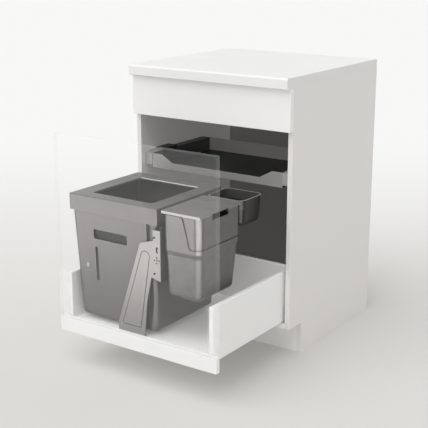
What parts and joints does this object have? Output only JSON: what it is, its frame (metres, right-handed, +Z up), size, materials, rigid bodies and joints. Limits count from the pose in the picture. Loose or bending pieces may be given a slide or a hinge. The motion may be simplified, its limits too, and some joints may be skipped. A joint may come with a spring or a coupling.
{
  "type": "pull out waste bin cabinet",
  "caption": "Free-standing base cabinet with a pull out drawer behind a clear front that holds a large bin with a bag frame, a small lidded bin and a caddy, under a fixed cover tray.",
  "frame": {"origin": "on the floor, under the middle of the bounding box with the drawer pulled out as in the picture", "axes": "+X to the cabinet's right seen from its front, +Y to its back, +Z up"},
  "size_m": [0.6, 0.958, 0.906],
  "materials": {
    "worktop": "satin, plain white",
    "white_board": "white laminated chipboard",
    "dowel_wood": "bare beech",
    "clear_front": "clear acrylic with a faint white veil",
    "white_steel": "white satin",
    "steel": "zinc plated",
    "stay_grey": "light grey satin",
    "carrier_grey": "grey satin",
    "tray_grey": "dark grey satin",
    "block_plastic": "light grey",
    "catch_plastic": "near black",
    "connector_plastic": "light grey",
    "bin_grey": "grey, fine grain",
    "frame_grey": "grey, fine grain",
    "holder_grey": "grey, fine grain",
    "cup_grey": "grey, fine grain",
    "lid_grey": "grey, fine grain",
    "caddy_grey": "grey, fine grain"
  },
  "bodies": {
    "cabinet": {"worktop": "worktop", "fascia_panel": "white_board", "side_panel_left": "white_board", "side_panel_right": "white_board", "bottom_panel": "white_board", "back_panel": "white_board", "top_rail_front": "white_board", "top_rail_rear": "white_board", "wall_rail": "white_board", "plinth_board": "white_board", "carcase_dowels": "dowel_wood", "worktop_screws": "steel", "fascia_angle_left": "steel", "fascia_angle_right": "steel", "fascia_angle_screws": "steel", "runner_rail_left": "steel", "runner_rail_right": "steel", "runner_rail_screws": "steel", "tray_pan": "tray_grey", "tray_rail_left": "steel", "tray_rail_right": "steel", "tray_block_left": "block_plastic", "tray_block_right": "block_plastic", "tray_catch_left": "catch_plastic", "tray_catch_right": "catch_plastic", "tray_rail_screws": "steel"},
    "runner_middle_left": {"runner_middle_left": "steel"},
    "runner_middle_right": {"runner_middle_right": "steel"},
    "drawer": {"front_panel": "clear_front", "drawer_side_left": "white_steel", "drawer_side_right": "white_steel", "drawer_floor": "white_board", "drawer_back": "white_board", "back_bracket_left": "steel", "back_bracket_right": "steel", "front_connector_left": "connector_plastic", "front_connector_right": "connector_plastic", "runner_slide_left": "steel", "runner_slide_right": "steel", "floor_screws": "steel", "front_stay": "stay_grey", "stay_screws": "steel", "stay_foot_screws": "steel", "bin_carrier": "carrier_grey", "bin_holder": "holder_grey"},
    "large_bin": {"large_bin": "bin_grey"},
    "bag_frame": {"bag_frame": "frame_grey"},
    "small_bin": {"small_bin": "cup_grey"},
    "small_bin_lid": {"small_bin_lid": "lid_grey"},
    "caddy": {"caddy": "caddy_grey"}
  },
  "joints": [
    {"name": "drawer_slide", "type": "slide", "parent": "cabinet", "child": "drawer", "axis": [0, -1, 0], "range_m": [-0.383, 0.046]},
    {"name": "runner_middle_left_slide", "type": "slide", "parent": "cabinet", "child": "runner_middle_left", "axis": [0, -1, 0], "range_m": [-0.1915, 0.023]},
    {"name": "runner_middle_right_slide", "type": "slide", "parent": "cabinet", "child": "runner_middle_right", "axis": [0, -1, 0], "range_m": [-0.1915, 0.023]},
    {"name": "large_bin_lift", "type": "slide", "parent": "drawer", "child": "large_bin", "axis": [0, 0, 1], "range_m": [0, 0.4]},
    {"name": "bag_frame_lift", "type": "slide", "parent": "large_bin", "child": "bag_frame", "axis": [0, 0, 1], "range_m": [0, 0.1]},
    {"name": "small_bin_lift", "type": "slide", "parent": "drawer", "child": "small_bin", "axis": [0, 0, 1], "range_m": [0, 0.26]},
    {"name": "small_bin_lid_lift", "type": "slide", "parent": "small_bin", "child": "small_bin_lid", "axis": [0, 0, 1], "range_m": [0, 0.1]},
    {"name": "caddy_lift", "type": "slide", "parent": "drawer", "child": "caddy", "axis": [0, 0, 1], "range_m": [0, 0.1]}
  ],
  "couplings": [
    {"joint": "runner_middle_left_slide", "follows": "drawer_slide", "ratio": 0.5},
    {"joint": "runner_middle_right_slide", "follows": "drawer_slide", "ratio": 0.5}
  ]
}
